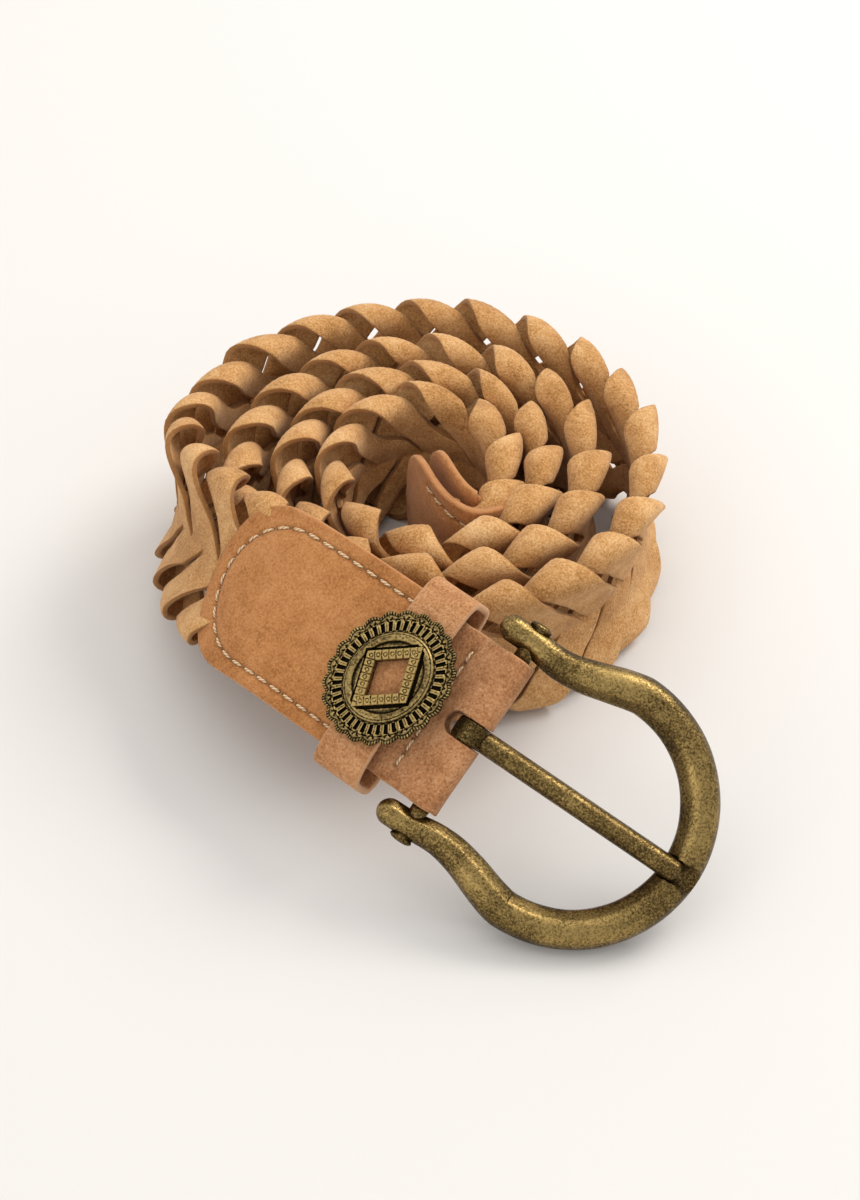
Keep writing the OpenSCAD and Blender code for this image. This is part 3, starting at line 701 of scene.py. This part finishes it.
# ---------------------------------------------------------------- concho
def make_concho():
    """Struck plate as a height over an oval grid that runs from its diamond hole to its scallops.

    Outwards: a diamond border cut into panes with a ring in each, a moat, a smooth oval band, a
    row of radial slots, and scalloped lobes with a V and beads, each a groove or a rise.
    """
    a, b, lobes, slots = concho_long / 2, concho_short / 2, 22, 42
    spokes, steps = 960, 94
    t = np.linspace(0, 2 * np.pi, spokes, endpoint=False)[None, :]
    q = np.linspace(0, 1, steps)[:, None]
    k = 1 - 0.055 * (1 - np.abs(np.sin(lobes * t / 2)))
    outer = np.stack([a * k * np.cos(t), b * k * np.sin(t)], -1)
    size = 1 / (np.abs(np.cos(t)) * a / (diamond_long / 2) + np.abs(np.sin(t)) * b / (diamond_short / 2))
    inner = np.stack([a * size * np.cos(t), b * size * np.sin(t)], -1)
    p = inner + (outer - inner) * q[..., None]
    x, y = p[..., 0], p[..., 1]
    r = np.hypot(x / a, y / b)
    edge_mm = (k - r) * np.hypot(a * np.cos(t), b * np.sin(t))
    z = 1.15 + 0.55 * (1 - r * r)
    # lobes, their milled edge, a V in each and a ring between neighbours
    lobe = (lobes * t / 2 / np.pi) % 1
    lobe_mm = 4.3
    across = (lobe - 0.5) * lobe_mm
    z = z + 0.3 * np.abs(np.sin(np.pi * lobe)) * smooth((3.2 - edge_mm) / 1.5)
    z = z - 0.16 * np.exp(-((edge_mm - 0.75) / 0.16) ** 2)
    z = z + 0.1 * np.sin(150 * t) * (edge_mm < 0.7)
    stroke = np.abs(np.abs(across) * 0.85 - (2.55 - edge_mm) * 0.53)
    z = z - 0.3 * np.exp(-(stroke / 0.17) ** 2) * (edge_mm > 1.25) * (edge_mm < 2.6)
    ring = np.hypot(np.minimum(lobe, 1 - lobe) * lobe_mm, edge_mm - 1.7)
    z = z - 0.25 * np.exp(-((ring - 0.45) / 0.14) ** 2)
    # radial slots between two fine lines
    pane = np.abs((slots * t / 2 / np.pi) % 1 - 0.5)
    in_row = smooth((r - 0.695) / 0.015) * smooth((0.845 - r) / 0.015)
    z = z - 0.85 * in_row * smooth((0.27 - pane) / 0.07) + 0.15 * in_row
    z = z - 0.18 * np.exp(-((r - 0.87) / 0.009) ** 2)
    # smooth oval band, with a line engraved outside it
    band = np.clip(1 - ((r - 0.605) / 0.072) ** 2, 0, 1)
    z = z + 0.75 * np.sqrt(band)
    z = z - 0.22 * np.exp(-((r - 0.64) / 0.006) ** 2)
    # diamond border: its distance from the hole, ten panes along each side, a ring in each
    steep = np.hypot(diamond_long, diamond_short)
    border_d = (np.abs(x) * 2 / diamond_long + np.abs(y) * 2 / diamond_short - 1) \
        * diamond_long * diamond_short / 2 / steep
    along = ((diamond_long / 2 - np.abs(x)) * diamond_long + np.abs(y) * diamond_short) / steep
    on_border = smooth((2.25 - border_d) / 0.18)
    pane_mm = steep / 10
    cell = along / pane_mm
    split = np.abs(cell - np.round(cell)) * pane_mm
    eye = np.hypot((cell % 1 - 0.5) * pane_mm, border_d - 1.05)
    raised = 2.55 - 0.3 * np.exp(-(split / 0.15) ** 2) - 0.25 * np.exp(-((eye - 0.42) / 0.13) ** 2)
    z = z * (1 - on_border) + raised * on_border
    moat = smooth((2.9 - border_d) / 0.3) * (1 - on_border) * (r < 0.6)
    z = z - 0.35 * moat
    # what stands above the mean height round it is rubbed bright, and the cuts stay dark
    near = sum(np.roll(z, n, 1) for n in range(-5, 6)) / 11
    padded = np.pad(near, ((4, 4), (0, 0)), mode="edge")
    near = sum(padded[n:n + len(z)] for n in range(9)) / 9
    worn = np.clip(0.05 + (z - near) * 3.6 + 0.1 * band + 0.55 * on_border, -0.8, 1.1)
    worn = worn - 0.9 * in_row * (pane < 0.27) - 0.5 * moat
    under = np.stack([np.stack([x[-1] * f, y[-1] * f, 0 * x[-1] + h], -1)
                      for f, h in ((1.0, 0.6), (0.985, 0.15), (0.8, 0.0))]
                     + [np.stack([inner[0, :, 0] * f, inner[0, :, 1] * f, 0 * x[0] + h], -1)
                        for f, h in ((1.25, 0.0), (1.0, 0.2))])
    rings = np.concatenate([np.stack([x, y, z], -1), under])
    worn = np.concatenate([worn, np.full((len(under), spokes), 0.1)])
    rings = (rings @ concho_turn.T + [-keeper_at, 0, concho_z]).transpose(1, 0, 2)
    made = shell(on_tab(rings), loop=True, worn=worn.T)
    piece("concho_plate", [made], "keeper", concho_brass, ["concho"])
    # the bar behind the plate, bent to a staple, holds it on the keeper
    bar, _ = strip_profile(5, 0.25, 1.0, 1.5)
    legs = np.array([[-7.4, -0.1], [-7.4, -1.6], [-7.1, -2.1], [-6.6, -2.4]])
    legs = np.concatenate([legs, (legs * [-1, 1])[::-1]])
    run = unit(np.gradient(legs, axis=0))
    out = np.stack([-run[:, 1], run[:, 0]], -1)
    p = np.stack([legs[:, None, 0] + bar[None, :, 1] * out[:, None, 0],
                  bar[None, :, 0] + 0 * legs[:, :1],
                  legs[:, None, 1] + bar[None, :, 1] * out[:, None, 1] + 0.3], -1)
    made = shell(on_tab(p + [-keeper_at, 0, concho_z]), worn=0.2)
    piece("concho_crossbar", [made], "keeper", concho_brass)


# ---------------------------------------------------------------- buckle
arm_y, arm_back = belt_w / 2 + 0.6 + arm_d / 2, arm_d / 2 + 2
bow_c, bow_r = bow_reach - bow_w / 2, (bow_w - bow_d) / 2
prong_tilt = turn("y", -3.4)
prong_len = bow_reach - bow_d / 2 - 1.4


def half_frame():
    """Centre line from an arm's end to the bow's middle.

    The arm runs straight, is drawn in by half a sine and swings out by a smooth step to the
    bow, which is a quarter circle.
    """
    x = np.linspace(-arm_back, bow_c, 120)
    k = smooth((x - 4) / (bow_c - 4))
    y = arm_y - 1.3 * np.sin(np.pi * np.clip(x / bow_c, 0, 1)) + (bow_r - arm_y) * k
    a = np.linspace(0, np.pi / 2, 90)[1:]
    return np.concatenate([np.stack([x, y], -1),
                           np.stack([bow_c + bow_r * np.sin(a), bow_r * np.cos(a)], -1)])


def make_frame():
    """Round section carried along the horseshoe, with a dome at both ends.

    It is thicker at the bow, has a flat on one edge and is a little lumpy, as cast, and the
    bow has a notch where the prong rests.
    """
    line = half_frame()
    line = np.concatenate([line, (line * [1, -1])[-2::-1]])
    run = unit(np.gradient(line, axis=0))
    r = arm_d / 2 + (bow_d - arm_d) / 2 * smooth((line[:, 0] + arm_back) / (bow_c + arm_back))
    a = np.linspace(0, np.pi / 2, 12)[1:]
    dome = [(line[0] - run[0] * r[0] * math.sin(q), run[0], r[0] * math.cos(q)) for q in a[::-1]]
    far = [(line[-1] + run[-1] * r[-1] * math.sin(q), run[-1], r[-1] * math.cos(q)) for q in a]
    line = np.concatenate([[d[0] for d in dome], line, [d[0] for d in far]])
    run = np.concatenate([[d[1] for d in dome], run, [d[1] for d in far]])
    r = np.maximum(np.concatenate([[d[2] for d in dome], r, [d[2] for d in far]]), 0.02)
    side = np.stack([run[:, 1], -run[:, 0]], -1)
    phi = np.linspace(0, 2 * np.pi, 40, endpoint=False)
    flat = np.minimum(1, 0.93 / np.maximum(0.05, np.cos(phi - np.radians(40))))
    s = np.arange(len(line))
    lumpy = 1 + 0.006 * np.sin(s / 9.0)[:, None] * np.cos(3 * phi)[None]
    lumpy = lumpy + 0.004 * np.sin(s / 4.1)[:, None]
    x = (r[:, None] * flat * np.cos(phi)) * lumpy
    z = (r[:, None] * flat * np.sin(phi)) * lumpy
    p = np.stack([line[:, None, 0] + x * side[:, None, 0],
                  line[:, None, 1] + x * side[:, None, 1], z], -1)
    # painted highlight: the front of the rod is lighter and its back darker, with slow wear along its
    # length
    worn = 0.35 * np.sin(phi)[None] + 0.1 * np.sin(s / 13.0)[:, None]
    skin = shell(on_buckle(p), worn=worn)
    made = piece("horseshoe_frame", [skin], "buckle", frame_brass, ["buckle_frame"])
    a = np.linspace(0, 2 * np.pi, 48, endpoint=False)
    rod, inside_bow, past_bow = prong_d / 2 + 0.25, 35.0, 70.0
    notch = np.stack([np.stack([0 * a + q, rod * np.cos(a), rod * np.sin(a)], -1)
                      for q in (inside_bow, past_bow)])
    cut(made, [shell(on_buckle(notch @ prong_tilt.T))], "buckle")


def lathe(radius, at, axis="y"):
    """Closed turned shape: radii at places along one axis of the buckle."""
    a = np.linspace(0, 2 * np.pi, 40, endpoint=False)
    c, s = radius[:, None] * np.cos(a), radius[:, None] * np.sin(a)
    along = at[:, None] + 0 * a
    return np.stack([c, along, s] if axis == "y" else [along, c, s], -1)


def make_bar():
    """Straight rod with both ends hammered over outside the arms."""
    end, r = arm_y + arm_d / 2, bar_d / 2
    at = np.array([0, end - 0.4, end - 0.1, end + 0.2, end + 0.6, end + 0.95, end + 1.15, end + 1.2])
    radius = np.array([r, r, 2.35, 2.6, 2.5, r, 1.1, 0.05])
    at = np.concatenate([-at[:0:-1], at])
    radius = np.concatenate([radius[:0:-1], radius])
    rings = lathe(radius, at)
    around = np.linspace(0, 2 * np.pi, rings.shape[1], endpoint=False)
    dent = 1 + 0.07 * np.sin(3 * around)[None, :, None] * (np.abs(at) > end)[:, None, None]
    rings = rings * np.concatenate([dent, np.ones_like(dent), dent], -1)
    piece("hammered_bar", [shell(on_buckle(rings), worn=0.1)], "buckle", frame_brass, ["buckle_bar"])


def make_prong():
    """Straight blunt rod that grows out of an eye round the bar."""
    q = np.linspace(0, np.pi / 2, 9)
    nose = 1.3
    at = np.concatenate([[1.0, 3.0], np.linspace(4, prong_len, 50), prong_len + nose * np.sin(q[1:])])
    base = np.concatenate([[2.2, 2.4], np.full(50, prong_d / 2),
                           prong_d / 2 - nose * (1 - np.cos(q[1:]))])
    base[-1] = 0.05
    rod = lathe(base, at, "x") @ prong_tilt.T
    a = np.linspace(0, 2 * np.pi, 64, endpoint=False)
    b = np.linspace(0, 2 * np.pi, 28, endpoint=False)
    thick, half = 0.95, prong_d / 2
    mid = bar_d / 2 + pin_clearance + thick
    bulge = np.sign(np.sin(b)) * np.abs(np.sin(b)) ** 0.6 * half
    r = mid + thick * np.sign(np.cos(b)) * np.abs(np.cos(b)) ** 0.6
    eye = np.stack([r * np.cos(a)[:, None], bulge + 0 * a[:, None], r * np.sin(a)[:, None]], -1)
    shells = [shell(on_buckle(rod), worn=0.15), shell(on_buckle(eye), loop=True, worn=0.0)]
    piece("prong_rod", shells, "prong", frame_brass, ["prong"])


# ---------------------------------------------------------------- camera, light and floor
camera_reach, camera_high, camera_lens, sensor = 0.650, math.radians(45), 84.8, 36.0
# how far the view's middle is from the middle of the box, and its height, in metres
look_at = (0.0012, 0.0007, 0.020)


def aim(made, at, target):
    """Puts a camera or light at a place and turns it to its target."""
    made.location = at
    made.rotation_euler = (Vector(target) - Vector(at)).to_track_quat("-Z", "Y").to_euler()
    bpy.context.scene.collection.objects.link(made)


def make_studio():
    """Camera, three soft area lights, a pale room and a matt paper floor."""
    middle = Vector(((cad_low.x + cad_high.x) / 2 + look_at[0],
                     (cad_low.y + cad_high.y) / 2 + look_at[1], look_at[2]))
    lens = bpy.data.cameras.new("camera")
    lens.lens, lens.sensor_width = camera_lens, sensor
    lens.clip_start, lens.clip_end = 0.01, 20.0
    camera = bpy.data.objects.new("camera", lens)
    back, up = camera_reach * math.cos(camera_high), camera_reach * math.sin(camera_high)
    aim(camera, middle + Vector((0, -back, up)), middle)
    bpy.context.scene.camera = camera
    for name, at, size, power, colour in (
            ("window_right", (0.85, 0.6, 1.0), 0.7, 12.0, "#fffbf6"),
            ("overhead", (-0.15, 0.1, 1.5), 1.4, 4.0, "#fffcf9"),
            ("front_fill", (-0.9, -1.1, 0.9), 1.0, 3.0, "#fffcf8")):
        light = bpy.data.lights.new(name, "AREA")
        light.size, light.energy, light.color = size, power, hex_colour(colour)[:3]
        aim(bpy.data.objects.new(name, light), at, (0, 0, 0))
    world = bpy.data.worlds.new("pale_room")
    world.use_nodes = True
    sky = world.node_tree.nodes["Background"]
    sky.inputs["Color"].default_value = hex_colour("#fbfaf9")
    sky.inputs["Strength"].default_value = 0.85
    bpy.context.scene.world = world
    bpy.context.scene.view_settings.view_transform = "Standard"
    made, tree = new_material("matt_paper_backdrop")
    at = add(tree, "ShaderNodeTexCoord").outputs["Object"]
    fibre = add(tree, "ShaderNodeTexNoise", {"Vector": at, "Scale": 900.0, "Detail": 2.0}).outputs[0]
    bump = add(tree, "ShaderNodeBump", {"Height": fibre, "Strength": 0.03,
                                        "Distance": 0.0002}).outputs[0]
    finish_material(tree, {"Base Color": hex_colour("#dddbd8"), "Roughness": 0.9, "Normal": bump,
                           "Specular IOR Level": 0.2})
    paper, far = bpy.data.meshes.new("backdrop"), 4.0
    corners = [(-far, -far, 0), (far, -far, 0), (far, far, 0), (-far, far, 0)]
    paper.from_pydata(corners, [], [(0, 1, 2, 3)])
    paper.materials.append(made)
    floor = bpy.data.objects.new("backdrop", paper)
    bpy.context.scene.collection.objects.link(floor)


make_studio()
for strand in range(strands):
    make_thong(strand)
make_panels("tab", tab_far, tab_len, 1, False, 3.0)
make_panels("tip", tip_len, tip_len, -1, True, tongue_len)
make_chape()
make_keeper()
make_concho()
make_frame()
make_bar()
make_prong()
